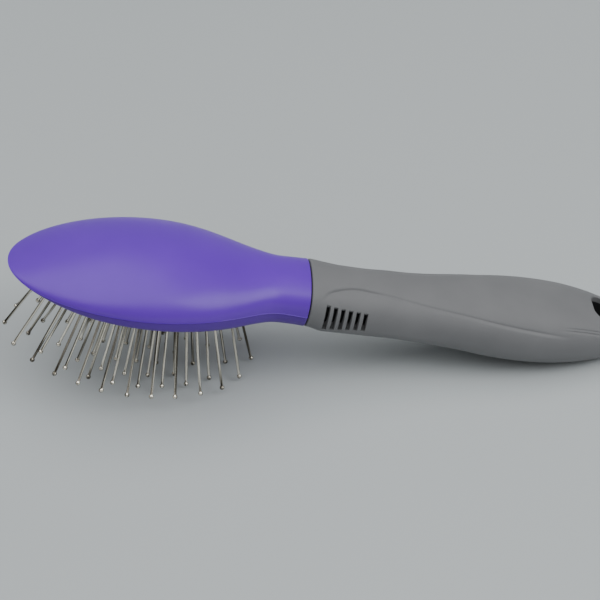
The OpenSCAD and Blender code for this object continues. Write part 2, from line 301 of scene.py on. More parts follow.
def skin(rings, start=None, end=None, closed=False):
    """Points and faces through rings of points. start and end are poles that close it, and closed
    joins the last ring to the first."""
    sides = len(rings[0])
    points = np.concatenate(rings)
    faces = ring_faces(len(rings), sides)
    last = (len(rings) - 1) * sides
    if closed:
        faces += [(last + k, last + (k + 1) % sides, (k + 1) % sides, k) for k in range(sides)]
    for pole, first in ((start, 0), (end, last)):
        if pole is not None:
            faces += fan(len(points), first, sides)
            points = np.concatenate([points, [pole]])
    return points, faces


def build(name, matrix, points, faces, material, sharp=35):
    """A smooth mesh object from points in a frame of the design, with sharp edges kept."""
    mesh = bpy.data.meshes.new(name)
    mesh.from_pydata(moved(matrix, points).tolist(), [], faces)
    tidy = bmesh.new()
    tidy.from_mesh(mesh)
    bmesh.ops.remove_doubles(tidy, verts=tidy.verts, dist=2e-7)
    bmesh.ops.dissolve_degenerate(tidy, edges=tidy.edges, dist=1e-7)
    bmesh.ops.recalc_face_normals(tidy, faces=tidy.faces)
    if tidy.calc_volume(signed=True) < 0:
        bmesh.ops.reverse_faces(tidy, faces=tidy.faces)
    tidy.to_mesh(mesh)
    tidy.free()
    piece = bpy.data.objects.new(name, mesh)
    bpy.context.scene.collection.objects.link(piece)
    mesh.materials.append(material)
    smooth(mesh, sharp)
    return piece


def smooth(mesh, sharp=35):
    """Shades a mesh smooth, apart from edges that turn by more than the angle sharp."""
    mesh.polygons.foreach_set("use_smooth", [True] * len(mesh.polygons))
    mesh.set_sharp_from_angle(angle=math.radians(sharp))
    mesh.update()


def cut(piece, cutters):
    """Takes the cutters out of a piece and removes them."""
    for tool in cutters:
        modifier = piece.modifiers.new("cut", "BOOLEAN")
        modifier.operation = "DIFFERENCE"
        modifier.solver = "MANIFOLD"
        modifier.object = tool
    evaluated = piece.evaluated_get(bpy.context.evaluated_depsgraph_get())
    mesh = bpy.data.meshes.new_from_object(evaluated)
    piece.modifiers.clear()
    piece.data = mesh
    for tool in cutters:
        bpy.data.objects.remove(tool)
    smooth(mesh)
    return piece


# ---- materials ----


class Nodes:
    """A short way to write a material's nodes."""

    def __init__(self, name):
        self.material = bpy.data.materials.new(name)
        self.material.use_nodes = True
        self.tree = self.material.node_tree
        self.shader = self.tree.nodes["Principled BSDF"]

    def set(self, **values):
        for key, value in values.items():
            self.shader.inputs[key.replace("_", " ")].default_value = value
        return self

    def add(self, kind, links=(), **values):
        node = self.tree.nodes.new(kind)
        for key, value in values.items():
            if key in node.inputs:
                node.inputs[key].default_value = value
            else:
                setattr(node, key, value)
        for socket, source in dict(links).items():
            self.tree.links.new(source, node.inputs[socket])
        return node

    def place(self, scale=1.0, stretch=(1, 1, 1), attribute=None):
        """Texture coordinates in millimetres, from the object or from a point attribute."""
        if attribute:
            source = self.add("ShaderNodeAttribute", attribute_name=attribute).outputs["Vector"]
            grow = [scale * s for s in stretch]
        else:
            source = self.add("ShaderNodeTexCoord").outputs["Object"]
            grow = [scale * s / MM for s in stretch]
        mapping = self.add("ShaderNodeMapping", {"Vector": source})
        mapping.inputs["Scale"].default_value = grow
        return mapping.outputs["Vector"]

    def noise(self, place, scale=1.0, detail=4.0, roughness=0.55):
        node = self.add("ShaderNodeTexNoise", {"Vector": place}, Scale=scale, Detail=detail)
        node.inputs["Roughness"].default_value = roughness
        return node.outputs["Fac"]

    def spread(self, source, low, high, from_low=0.3, from_high=0.7):
        node = self.add("ShaderNodeMapRange", {"Value": source})
        limits = {"From Min": from_low, "From Max": from_high, "To Min": low, "To Max": high}
        for key, value in limits.items():
            node.inputs[key].default_value = value
        return node.outputs["Result"]

    def ramp(self, source, low, high, at=(0.35, 0.65)):
        node = self.add("ShaderNodeValToRGB", {"Fac": source})
        for stop, colour, place in zip(node.color_ramp.elements, (low, high), at):
            stop.color = (*colour, 1)
            stop.position = place
        return node.outputs["Color"]

    def blend(self, share, low, high):
        node = self.add("ShaderNodeMix", data_type="RGBA")
        self.link(share, node.inputs["Factor"])
        self.link(low, node.inputs[6])
        self.link(high, node.inputs[7])
        return node.outputs[2]

    def link(self, source, socket):
        if isinstance(source, (tuple, list)):
            socket.default_value = (*source, 1)
        elif isinstance(source, (int, float)):
            socket.default_value = source
        else:
            self.tree.links.new(source, socket)

    def bump(self, *layers):
        """Layers of (height source, depth in millimetres), each on top of the one before."""
        normal = None
        for height, depth in layers:
            node = self.add("ShaderNodeBump", {"Height": height}, Strength=1.0)
            node.inputs["Distance"].default_value = depth * MM
            if normal is not None:
                self.link(normal, node.inputs["Normal"])
            normal = node.outputs["Normal"]
        self.link(normal, self.shader.inputs["Normal"])
        return self

    def wire(self, **sources):
        for key, source in sources.items():
            self.link(source, self.shader.inputs[key.replace("_", " ")])
        return self


VIOLET, VIOLET_DEEP = np.array([0.139, 0.028, 0.517]), np.array([0.127, 0.024, 0.485])
# The front frame's colour is darkened, painted shade for its band under the head
FRAME_PAINTED_SHADE = 0.64
GREY, GREY_DEEP = (0.168, 0.168, 0.175), (0.152, 0.152, 0.159)
BLACK, BLACK_DEEP = (0.014, 0.014, 0.016), (0.008, 0.008, 0.010)
RUBBER, RUBBER_DEEP = (0.032, 0.031, 0.035), (0.018, 0.017, 0.020)
# The pins' dark streak colour and dark side colour are painted reflections on the nickel
NICKEL, PAINTED_DARK_REFLECTION, WIRE_SIDE_PAINTED_REFLECTION = (0.95, 0.89, 0.77), (0.10, 0.088, 0.070), (0.035, 0.030, 0.024)
PAPER, PAPER_DEEP = (0.483, 0.508, 0.521), (0.465, 0.490, 0.503)


def violet_plastic(name, shade=1.0):
    """Satin moulded plastic: faint flow marks in the colour, a fine moulded grain."""
    n = Nodes(name).set(IOR=1.46, Subsurface_Weight=0.04, Subsurface_Scale=0.002)
    n.shader.inputs["Subsurface Radius"].default_value = (0.5, 0.4, 1.0)
    drift = n.noise(n.place(), 0.035, 3)
    grain = n.noise(n.place(), 3.5, 4)
    cloud = n.noise(n.place(), 0.12, 5)
    n.wire(
        # A shade below 1 darkens the whole colour: painted shade
        Base_Color=n.ramp(drift, VIOLET_DEEP * shade, VIOLET * shade),
        Roughness=n.spread(cloud, 0.32, 0.37),
    )
    return n.bump((cloud, 0.015), (grain, 0.0012)).material


def grip_rubber():
    """Soft matte elastomer with a fine grain and faint handling marks."""
    n = Nodes("grip_rubber").set(IOR=1.45, Sheen_Weight=0.08, Sheen_Roughness=0.5)
    cloud = n.noise(n.place(), 0.06, 5)
    grain = n.noise(n.place(), 5.0, 4, 0.6)
    n.wire(Base_Color=n.ramp(cloud, GREY_DEEP, GREY), Roughness=n.spread(cloud, 0.58, 0.68))
    return n.bump((cloud, 0.02), (grain, 0.008)).material


def core_plastic():
    """Matte black moulded plastic."""
    n = Nodes("core_plastic").set(IOR=1.5)
    cloud = n.noise(n.place(), 0.2, 4)
    grain = n.noise(n.place(), 4.0, 3)
    n.wire(
        Base_Color=n.ramp(cloud, BLACK_DEEP, BLACK),
        Roughness=n.spread(cloud, 0.45, 0.6),
    )
    return n.bump((grain, 0.004)).material


def cushion_rubber():
    """Dark rubber with a moulded grain and faint dusty patches."""
    n = Nodes("cushion_rubber").set(IOR=1.5)
    cloud = n.noise(n.place(), 0.15, 5)
    grain = n.noise(n.place(), 2.5, 5, 0.65)
    n.wire(
        Base_Color=n.ramp(cloud, RUBBER_DEEP, RUBBER),
        Roughness=n.spread(cloud, 0.55, 0.75),
    )
    return n.bump((grain, 0.02)).material


def pin_steel():
    """Drawn nickel-plated wire, with painted reflections: bright and dark streaks along it, and
    darker towards its sides, a painted reflection of its neighbours."""
    n = Nodes("pin_steel").set(Metallic=1.0)
    streak = n.noise(n.place(1.0, (1.3, 1.3, 0.02), "wire"), 1.0, 3)
    grain = n.noise(n.place(1.0, (3.0, 3.0, 0.15), "wire"), 1.0, 4)
    # Painted reflections: dark and bright streaks along each wire
    wire = n.ramp(streak, PAINTED_DARK_REFLECTION, NICKEL, (0.42, 0.56))
    # Painted reflection: the colour darkens towards the wire's sides, as if mirroring its neighbours
    side = n.add("ShaderNodeLayerWeight", Blend=0.5).outputs["Facing"]
    n.wire(
        Base_Color=n.blend(n.spread(side, 0, 0.9, 0.35, 0.85), wire, WIRE_SIDE_PAINTED_REFLECTION),
        Roughness=n.spread(grain, 0.12, 0.24),
    )
    return n.bump((grain, 0.001)).material


# ---- the head ----

RAYS, TRIAL_RAYS = 720, 4001
# Farther than any ray runs inside the outline, and the halvings that find where it ends
FAR, HALVINGS = 90.0, 45
DOME_RINGS, SIDE_RINGS, KEEL_RINGS = 70, 6, 48
LIP_STEPS, ROUND_STEPS = 7, 7
# The parting line: radii of the two lips, and how far and how high the shell's bead stands out
LIP, FRAME_LIP = 0.2, 0.3
BEAD, BEAD_HEIGHT = 0.16, 0.1
RIM_ROUND = 0.9
# Thickness of the shell's end wall at the joint
END_WALL = 2.5
# How much closer the underside's rings lie near the parting line
KEEL_CROWDING = 2.6


def outline_at(angles, inset=0.0, end=JOINT_X):
    """Where rays from the middle of the head meet its outline."""
    c, s = np.cos(angles), np.sin(angles)
    near, far = np.zeros_like(angles), np.full_like(angles, FAR)
    for _ in range(HALVINGS):
        r = (near + far) / 2
        x = r * c
        outside = (np.abs(r * s) > head_half_at(x, inset)) | (x > end) | (x < TIP_X + inset)
        near, far = np.where(outside, near, r), np.where(outside, r, far)
    return np.stack([near * c, near * s], 1)


def even_angles():
    """Ray angles that space the outline's points evenly."""
    trial = np.linspace(0, 2 * np.pi, TRIAL_RAYS)
    line = outline_at(trial)
    travel = np.concatenate([[0], np.cumsum(np.linalg.norm(np.diff(line, axis=0), axis=1))])
    return np.interp(np.arange(RAYS) / RAYS * travel[-1], travel, trial)


ANGLES = even_angles()
OUTLINE = outline_at(ANGLES)


def drawn_in(line, distance):
    """A closed outline moved inward, square to itself."""
    along = np.roll(line, -1, 0) - np.roll(line, 1, 0)
    along /= np.linalg.norm(along, axis=1)[:, None]
    return line + distance * np.stack([-along[:, 1], along[:, 0]], 1)


def level(line, z):
    """Points over a plan line, at height z (a number or one per point)."""
    return np.column_stack([line, np.broadcast_to(z, len(line))])


def side_line(line, z):
    """A plan line, narrowed to the width that the head has at height z."""
    x, y = line.T
    below = np.abs(np.minimum(z, 0)) / head_depth_at(x)
    return np.column_stack([x, y * arched(below, rim_power_at(x))])


def lip_rings(side, radius):
    """The rounded lip along the parting line. side is 1 above the line and -1 below it."""
    parting = parting_at(OUTLINE[:, 0])
    edge = side_line(OUTLINE, parting + side * radius)
    if side > 0:
        edge = drawn_in(edge, -BEAD)
    turns = np.linspace(0, np.pi / 2, LIP_STEPS)
    return [
        level(drawn_in(edge, radius * (1 - math.cos(t))), parting + side * radius * (1 - math.sin(t)))
        for t in turns
    ]


def dome_ring(share, line, inset, lift):
    """One ring of the dome, at a share of the way from the middle to the outline."""
    x, y = (line * share).T
    z = roof(x, y, inset)
    return np.column_stack([x, y, lift + z * (1 - lift / head_top_at(x, inset))])


def dome_shares(count):
    """Places of the dome's rings, closer together towards the outline."""
    return [1 - (1 - k / count) ** 2 for k in range(1, count + 1)]


def back_shell(material):
    inner = outline_at(ANGLES, SHELL_WALL, JOINT_X - END_WALL)
    parting = parting_at(OUTLINE[:, 0])
    lift = np.maximum(LIP + parting, 0)
    rings = [dome_ring(s, OUTLINE, 0, lift) for s in dome_shares(DOME_RINGS)]
    brink = np.minimum(LIP + parting + BEAD_HEIGHT, lift)
    for z in [mix(lift, brink, k / SIDE_RINGS) for k in range(1, SIDE_RINGS)] + [brink]:
        rings.append(level(side_line(OUTLINE, z), z))
    rings += lip_rings(1, LIP)
    foot = parting_at(inner[:, 0])
    rings += [level(side_line(inner, foot), foot)]
    rings += [dome_ring(s, inner, SHELL_WALL, 0) for s in reversed(dome_shares(DOME_RINGS // 2))]
    top = [0, 0, float(roof(np.array(0.0), np.array(0.0)))]
    under = [0, 0, float(roof(np.array(0.0), np.array(0.0), SHELL_WALL))]
    return build("back_shell_moulding", SHELL, *skin(rings, top, under), material)


def oval(grow):
    """The rim's opening, grown outward, at the rays' angles in the cushion frame."""
    a, b = OPENING_X + grow, OPENING_Y + grow
    t = np.arctan2(np.sin(ANGLES) / b, np.cos(ANGLES) / a)
    return np.column_stack([a * np.cos(t), b * np.sin(t)])


def in_shell(points):
    """Points of the cushion frame, in the shell frame."""
    return moved(Matrix.Translation((0, 0, -RIM_DEPTH)) @ TILT, points)


def where_walls_meet(line, surface):
    """Height in the cushion frame at which upright walls over a plan line meet a surface, given by
    its height over (x, y) in the shell frame."""
    tilt = math.radians(RIM_TILT)
    z = np.zeros(len(line))
    for _ in range(6):
        x = line[:, 0] * math.cos(tilt) + z * math.sin(tilt)
        z = (surface(x, line[:, 1]) + RIM_DEPTH + line[:, 0] * math.sin(tilt)) / math.cos(tilt)
    return z


def keel_ring(start, edge, share):
    """One ring of the underside, at a share of the way from the opening to the side."""
    x, y = (start * (1 - share) + edge * share).T
    return np.column_stack([x, y, keel(x, y)])


def front_frame(material):
    rings = []
    for t in np.linspace(0, np.pi / 2, ROUND_STEPS):
        line = oval(RIM_ROUND * (1 - math.cos(t)))
        foot = where_walls_meet(line, keel)
        rings.append(in_shell(level(line, foot + RIM_ROUND * (1 - math.sin(t)))))
    start = rings[-1][:, :2]
    edge = side_line(OUTLINE, parting_at(OUTLINE[:, 0]) - FRAME_LIP)
    for k in range(1, KEEL_RINGS + 1):
        rings.append(keel_ring(start, edge, 1 - (1 - k / KEEL_RINGS) ** KEEL_CROWDING))
    rings += lip_rings(-1, FRAME_LIP)
    recess = oval(FLANGE_GROW + FIT)
    rise = where_walls_meet(recess, lambda x, y: parting_at(x))
    rings += [in_shell(level(recess, rise)), in_shell(level(recess, LEDGE_Z))]
    rings += [in_shell(level(oval(0), LEDGE_Z))]
    return build("front_frame_moulding", SHELL, *skin(rings, closed=True), material)


# ---- the pins ----

PIN_SIDES, BALL_STEPS, SHAFT_STEPS = 20, 12, 10
# Radius of the flat head's faces as a share of its own, and the height of its rounded edges
HEAD_FACE, HEAD_EDGE = 0.9, 0.1
# The fillets under the flat head and under the ball: how far out and how far along the wire
ROOT_FILLET, ROOT_FILLET_LENGTH = 0.15, 0.2
BALL_FILLET, BALL_FILLET_LENGTH, BALL_FILLET_END = 0.05, 0.12, 0.02
# Place of the ball's first ring, as a share of a step
BALL_START = 0.6
SHAFT_START = -1
# Spread of the tips from where they should stand, and how late along the wire it bends
PIN_WANDER, BEND_POWER = 0.35, 1.5
WANDER_SEED = 58
# Angle from which a pin's edges are sharp
PIN_SHARP = 50
# Distances that keep each wire's streaks apart from the next wire's and the next row's
WIRE_STEP, ROW_STEP = 40.0, 17.0


def pin_profile():
    """Radius and height of a pin from its flat head to the pole of its ball."""
    head = -RUBBER_WALL - PIN_HEAD
    face = PIN_HEAD_R * HEAD_FACE
    line = [(face, head), (PIN_HEAD_R, head + HEAD_EDGE), (PIN_HEAD_R, head + PIN_HEAD - HEAD_EDGE)]
    line += [(face, head + PIN_HEAD), (WIRE_R + ROOT_FILLET, head + PIN_HEAD)]
    line += [(WIRE_R, head + PIN_HEAD + ROOT_FILLET_LENGTH)]
    neck = -math.sqrt(BALL_R**2 - WIRE_R**2)
    shaft_end = PIN_REACH + neck - BALL_FILLET_LENGTH
    line += [(WIRE_R, mix(SHAFT_START, shaft_end, k / SHAFT_STEPS)) for k in range(SHAFT_STEPS + 1)]
    line += [(WIRE_R + BALL_FILLET, PIN_REACH + neck - BALL_FILLET_END)]
    start = math.acos(-neck / BALL_R)
    for k in range(BALL_STEPS):
        t = mix(start, math.pi, (k + BALL_START) / BALL_STEPS)
        line.append((BALL_R * math.sin(t), PIN_REACH - BALL_R * math.cos(t)))
    return np.array(line)


def pin_mesh(root, wander):
    """One pin in the cushion frame, with the slight bend that a used wire has. The second result
    holds each point's place along and around its own wire."""
    direction = pin_direction(*root)
    turn = Vector((0, 0, 1)).rotation_difference(direction).to_matrix().to_4x4()
    foot = Vector((root[0], root[1], float(crown_z(*root))))
    profile = pin_profile()
    t = np.arange(PIN_SIDES) * 2 * np.pi / PIN_SIDES
    rings = []
    for radius, height in profile:
        share = max(0.0, height / PIN_REACH)
        off = wander * share**BEND_POWER
        x, y = radius * np.cos(t) + off[0], radius * np.sin(t) + off[1]
        rings.append(np.column_stack([x, y, np.full(PIN_SIDES, height)]))
    start = [0, 0, profile[0][1]]
    end = [wander[0], wander[1], PIN_REACH + BALL_R]
    points, faces = skin(rings, start, end)
    return moved(Matrix.Translation(foot) @ turn, points), faces, points


def pin_row(body, material, draws):
    """The pins of one row as one piece. Each pin is a separate solid."""
    roots = row_roots(body)
    points, faces, places, count = [], [], [], 0
    for number, root in enumerate(roots):
        wander = draws.normal(0, PIN_WANDER, 2)
        p, f, own = pin_mesh(root, wander)
        faces += [tuple(count + v for v in face) for face in f]
        points.append(p)
        places.append(own + np.array([WIRE_STEP * number, ROW_STEP * len(roots), 0]))
        count += len(p)
    mesh = bpy.data.meshes.new(body + "_wires")
    mesh.from_pydata(moved(CUSHION, np.concatenate(points)).tolist(), [], faces)
    attribute = mesh.attributes.new("wire", "FLOAT_VECTOR", "POINT")
    attribute.data.foreach_set("vector", np.concatenate(places).astype(np.float32).ravel())
    outward = bmesh.new()
    outward.from_mesh(mesh)
    bmesh.ops.recalc_face_normals(outward, faces=outward.faces)
    outward.to_mesh(mesh)
    outward.free()
    mesh.materials.append(material)
    smooth(mesh, PIN_SHARP)
    piece = bpy.data.objects.new(body + "_wires", mesh)
    bpy.context.scene.collection.objects.link(piece)
    return piece


# ---- the cushion ----

PAD_ROUND = 1.6
COLLAR_R, COLLAR_HEIGHT = 1.25, 0.55
# How far beyond its radius a collar starts to rise, and over what distance it does
COLLAR_FOOT, COLLAR_SLOPE = 0.5, 0.9
PAD_RINGS, PAD_INNER_RINGS, PAD_SIDE_STEPS = 90, 30, 6
FLANGE_EDGE = 0.3
PAD_SHARP = 40


def collars(x, y):
    """How far the small collars round the pins stand out of the crown."""
    rise = np.zeros_like(x)
    for root in ALL_ROOTS:
        distance = np.hypot(x - root[0], y - root[1])
        rise = np.maximum(rise, smooth_step((COLLAR_R + COLLAR_FOOT - distance) / COLLAR_SLOPE))
    return COLLAR_HEIGHT * rise


def crown_ring(line, share, inset):
    """One ring of the crown, at a share of the way from its middle to a plan line."""
    x, y = (line * share).T
    return np.column_stack([x, y, crown_z(x, y, inset) - (0 if inset else collars(x, y))])


def cushion_pad(material):
    """The hollow rubber pad: its crown, its side, its flange, and its inner face."""
    edge = oval(-FIT - PAD_ROUND)
    rings = [crown_ring(edge, k / PAD_RINGS, 0) for k in range(1, PAD_RINGS + 1)]
    for t in np.linspace(0, np.pi / 2, ROUND_STEPS)[1:]:
        line = oval(-FIT - PAD_ROUND * (1 - math.sin(t)))
        rings.append(level(line, crown_z(*line.T) + PAD_ROUND * (1 - math.cos(t))))
    side = oval(-FIT)
    foot = rings[-1][:, 2]
    for k in range(1, PAD_SIDE_STEPS + 1):
        rings.append(level(side, mix(foot, LEDGE_Z, k / PAD_SIDE_STEPS)))
    flange, face = oval(FLANGE_GROW), oval(FLANGE_GROW - FLANGE_EDGE)
    rings += [level(face, LEDGE_Z), level(flange, LEDGE_Z + FLANGE_EDGE)]
    rings += [level(flange, FLANGE_Z - FLANGE_EDGE), level(face, FLANGE_Z)]
    inner = oval(-FIT - RUBBER_WALL)
    rings += [level(inner, FLANGE_Z)]
    shares = [k / PAD_INNER_RINGS for k in range(PAD_INNER_RINGS, 0, -1)]
    rings += [crown_ring(inner, share, RUBBER_WALL) for share in shares]
    top, under = [0, 0, -CROWN_HEIGHT], [0, 0, RUBBER_WALL - CROWN_HEIGHT]
    return build("air_cushion", CUSHION, *skin(rings, top, under), material, PAD_SHARP)


# ---- the grip ----

# Points around the sleeve's sections, and how many times fewer there are inside it
UPPER_POINTS, LOWER_POINTS, INNER_COARSENESS = 220, 100, 4
# Where the rounded ends of the sleeve and of its inside start
HEEL_X, INNER_HEEL_X = 187.5, 180
# Height inside the grip at the joint, for the poles that close the ends there
POLE_Z = -1
# How far in front of the sleeve the tool that hollows it starts
HOLLOW_START = 2
# The collar of the core that shows in the gap lies this far below the surface
COLLAR_INSET = 1.0
TANG_BEVEL = 0.4

# The tools that cut the slots: how deep they go, the length over which they run out at the top,
# how far they reach past the slot's top, and the number of points along that
SLOT_DEPTH, SLOT_RUNOUT, SLOT_TOP, SLOT_STEPS = 4.0, 4.5, 0.4, 12
# Past its end a slot's tool lies this far outside the flank
SLOT_CLEAR = 0.1
# The outer, middle and inner point of a tool's slanting foot: how far out they lie, and their
# heights over the slot's lower end
SLOT_OUT, SLOT_KNEE, SLOT_FLOOR = 20, 11.4, 9.4
SLOT_FOOT = 0.9, -0.4, 0.8

# The thumb rests, where the flank leans outward: from where to where, over what lengths they come
# and go, how far they lower the widest line, and how square they make the underside
REST_FROM, REST_RISE, REST_TO, REST_FALL = 60.5, 6, 122, 28
REST_DROP, REST_POWER = 2.4, 2.6

# The crease along each flank: place along the grip and angle around its section
CREASE = [(63, 150), (66, 131), (70, 121), (77, 114), (88, 119), (103, 131), (118, 140), (133, 148)]
CREASE += [(149, 154), (160, 158)]
CREASE_FROM, CREASE_RISE, CREASE_TO, CREASE_FALL = 62.5, 6, 160, 16
# It steps down below the line as far as CREASE_TURN, and above the line from there on: how deep
# each step is, over what distance it fades, and the length along the grip of the change
CREASE_TURN, FLANK_LENGTH, CROWN_LENGTH = 92, 12, 14
FLANK_STEP, FLANK_FADE = 0.68, 9
CROWN_STEP, CROWN_FADE = 0.40, 6
# The step's edge reaches from STEP_EDGE before the line over STEP_WIDTH, with a groove in it
STEP_EDGE, STEP_WIDTH = 0.35, 0.9
GROOVE_DEPTH, GROOVE_WIDTH = 0.34, 0.55

# The two fine grooves beside the hanging hole: their line, the shift of each one from it, depths
# and widths
END_CREASE = [(151, 143), (161, 143), (170, 146), (178, 152), (185, 162)]
END_FROM, END_TO, END_FADE = 153, 186, 8
END_GROOVES = [(0.4, 0.22, 0.35), (-0.6, 0.30, 0.4)]
CREASE_POINTS = 700
# The creases lie on the part of a section where the sine of the angle is above this
CREASE_SINE = -0.3

LOOP_ROUND = 1.1
LOOP_MIDDLE = np.array([176.0, 0.0])
# The area that the rounding can reach: from, to, and half width
LOOP_AREA = 165, 189, 10
LOOP_POINTS, LOOP_EDGE_POINTS = 160, 800
# Bottom and top of the tool that cuts the hole
TOOL_LOW, TOOL_HIGH = -40, 30


def section_angles():
    up = np.linspace(0, np.pi, UPPER_POINTS, endpoint=False)
    down = np.linspace(np.pi, 2 * np.pi, LOWER_POINTS, endpoint=False)
    return np.concatenate([up, down])


def thumb_rest_at(x):
    """How far the flank behind the joint leans outward, from 0 to 1."""
    rise, fall = smooth_step((x - REST_FROM) / REST_RISE), smooth_step((REST_TO - x) / REST_FALL)
    return float(rise * fall)


def section(x, angles, inset=0.0, draw_in=0.0):
    """Points of the grip's section at x (a number)."""
    x = float(x)
    lean = 0 if inset else thumb_rest_at(x)
    half = max(GRIP_POINT, float(grip_half_at(x)) - inset - draw_in)
    thick = max(GRIP_POINT, float(grip_thick_at(x)) - inset - draw_in)
    flare = NECK_FLARE * (1 - float(ease((x - JOINT_X) / FLARE_LENGTH)))
    axis = float(grip_axis_at(x))
    split = float(grip_split_at(x)) - REST_DROP * lean
    c, s = np.cos(angles), np.sin(angles)
    up, down = axis + thick - split, split - axis + thick - flare
    power = 2 / np.where(s < 0, mix(GRIP_POWER, REST_POWER, lean), GRIP_POWER)
    y = half * np.sign(c) * np.abs(c) ** power
    z = split + np.where(s < 0, down, up) * np.sign(s) * np.abs(s) ** power
    return np.column_stack([np.full_like(y, x), y, z])


def through(points, count):
    """A smooth line through given points, as an array of count places."""
    p = np.array(points, float)
    t = np.linspace(0, len(p) - 1, count)
    i = np.clip(t.astype(int), 0, len(p) - 2)
    u = (t - i)[:, None]
    before, here = p[np.maximum(i - 1, 0)], p[i]
    after, beyond = p[i + 1], p[np.minimum(i + 2, len(p) - 1)]
    return 0.5 * (
        2 * here
        + (after - before) * u
        + (2 * before - 5 * here + 4 * after - beyond) * u**2
        + (3 * here - before - 3 * after + beyond) * u**3
    )


def crease_distance(points, angles, crease):
    """Distance of surface points from a crease line, positive below the line, and the place along
    the grip of the nearest point of the line."""
    line = through(crease, CREASE_POINTS)
    where = np.concatenate([section(x, np.array([math.radians(a)])) for x, a in line])
    tree = KDTree(len(where))
    for k, p in enumerate(where):
        tree.insert(Vector(p), k)
    tree.balance()
    found = [tree.find(Vector(p)) for p in points]
    distance = np.array([f[2] for f in found])
    below = np.interp(points[:, 0], line[:, 0], line[:, 1])
    return distance * np.sign(np.degrees(angles) - below), where[[f[1] for f in found], 0]


def groove(distance, width):
    return np.exp(-np.square(distance / width))


def crease_depth(points, angles):
    """How far the flank's creases lower the surface."""
    d, along = crease_distance(points, angles, CREASE)
    fade = smooth_step((along - CREASE_FROM) / CREASE_RISE)
    fade = fade * smooth_step((CREASE_TO - along) / CREASE_FALL)
    flank = FLANK_STEP * smooth_step((CREASE_TURN - along) / FLANK_LENGTH)
    crown = CROWN_STEP * smooth_step((along - CREASE_TURN) / CROWN_LENGTH)
    below = smooth_step((d + STEP_EDGE) / STEP_WIDTH) * np.exp(-np.maximum(d, 0) / FLANK_FADE)
    above = smooth_step((STEP_EDGE - d) / STEP_WIDTH) * np.exp(-np.maximum(-d, 0) / CROWN_FADE)
    depth = fade * (flank * below + crown * above + GROOVE_DEPTH * groove(d, GROOVE_WIDTH))
    d, along = crease_distance(points, angles, END_CREASE)
    fade = smooth_step((along - END_FROM) / END_FADE) * smooth_step((END_TO - along) / END_FADE)
    return depth + fade * sum(deep * groove(d + shift, wide) for shift, deep, wide in END_GROOVES)


def loop_line(count):
    """The hanging hole's outline: the line around three circles, as seen along the shell's Z."""
    t = np.linspace(0, 2 * np.pi, 721)[:-1]
    way = np.column_stack([np.cos(t), np.sin(t)])
    circles = [(LOOP_FRONT[0], side * LOOP_FRONT[1], LOOP_FRONT_R) for side in (-1, 1)]
    circles.append((LOOP_BACK, 0, LOOP_BACK_R))
    reach = np.stack([way @ np.array(c[:2]) + c[2] for c in circles])
    best = reach.argmax(0)
    middles = np.array([circles[b][:2] for b in best])
    radii = np.array([circles[b][2] for b in best])
    line = middles + way * radii[:, None]
    line = np.concatenate([line, line[:1]])
    travel = np.concatenate([[0], np.cumsum(np.linalg.norm(np.diff(line, axis=0), axis=1))])
    even = np.linspace(0, travel[-1], count, endpoint=False)
    return np.column_stack([np.interp(even, travel, line[:, k]) for k in (0, 1)])


def loop_depth(points):
    """How far the rounding of the hanging hole's edge lowers the surface."""
    line = loop_line(LOOP_EDGE_POINTS)
    tree = KDTree(len(line))
    for k, (x, y) in enumerate(line):
        tree.insert((x, y, 0), k)
    tree.balance()
    depth = np.zeros(len(points))
    start, end, half = LOOP_AREA
    near = (points[:, 0] > start) & (points[:, 0] < end) & (np.abs(points[:, 1]) < half)
    for k in np.nonzero(near)[0]:
        p = points[k, :2]
        _, index, distance = tree.find((p[0], p[1], 0))
        inside = np.linalg.norm(p - LOOP_MIDDLE) < np.linalg.norm(line[index] - LOOP_MIDDLE)
        depth[k] = LOOP_ROUND if inside else edge_round(distance, LOOP_ROUND)
    return depth


def stations():
    """Places of the sleeve's rings: close at the joint's rounding, the slots and the hanging hole,
    and closer and closer towards the end."""
    parts = [SLEEVE_X + np.array([0, 0.03, 0.1, 0.22, 0.4]), np.arange(SLEEVE_X + 0.8, 80, 0.4)]
    parts += [np.arange(80, 166, 0.8), np.arange(166, HEEL_X, 0.3)]
    parts.append(GRIP_END - (GRIP_END - HEEL_X) * np.cos(np.linspace(0, np.pi / 2, 18))[:-1] ** 2)
    return np.unique(np.concatenate(parts))


def sleeve_outside():
    """The sleeve's rings, lowered by the creases and by the rounding of the hanging hole."""
    angles = section_angles()
    rings = []
    for x in stations():
        rings.append(section(x, angles, 0, float(edge_round(x - JOINT_X - JOINT_GAP, END_ROUND))))
    points = np.concatenate(rings)
    around = np.tile(angles, len(rings))
    upper = np.sin(around) > CREASE_SINE
    depth = loop_depth(points)
    for side, mirror in ((around, (1, 1, 1)), (np.pi - around, (1, -1, 1))):
        depth[upper] += crease_depth(points[upper] * mirror, side[upper])
    inward = np.column_stack([np.zeros(len(points)), np.cos(around), np.sin(around)])
    points = points - inward * depth[:, None]
    return list(points.reshape(len(rings), -1, 3))


def inside_rings():
    """Rings of the face where the core and the sleeve meet."""
    angles = section_angles()[::INNER_COARSENESS]
    end = GRIP_END - SLEEVE_WALL
    heel = end - (end - INNER_HEEL_X) * np.cos(np.linspace(0, np.pi / 2, 14))[1:-1] ** 2
    places = np.concatenate([np.linspace(SLEEVE_X, INNER_HEEL_X, 61), heel])
    return [section(x, angles, SLEEVE_WALL) for x in places]


def inside_end():
    return [GRIP_END - SLEEVE_WALL, 0, float(grip_axis_at(GRIP_END))]


def loop_tool():
    """The tool that cuts the hanging hole."""
    line = loop_line(LOOP_POINTS)
    middle = line.mean(0)
    rings = [level(line, TOOL_LOW), level(line, TOOL_HIGH)]
    points, faces = skin(rings, [*middle, TOOL_LOW], [*middle, TOOL_HIGH])
    return build("loop_tool", SHELL, points, faces, MATERIALS["core"])


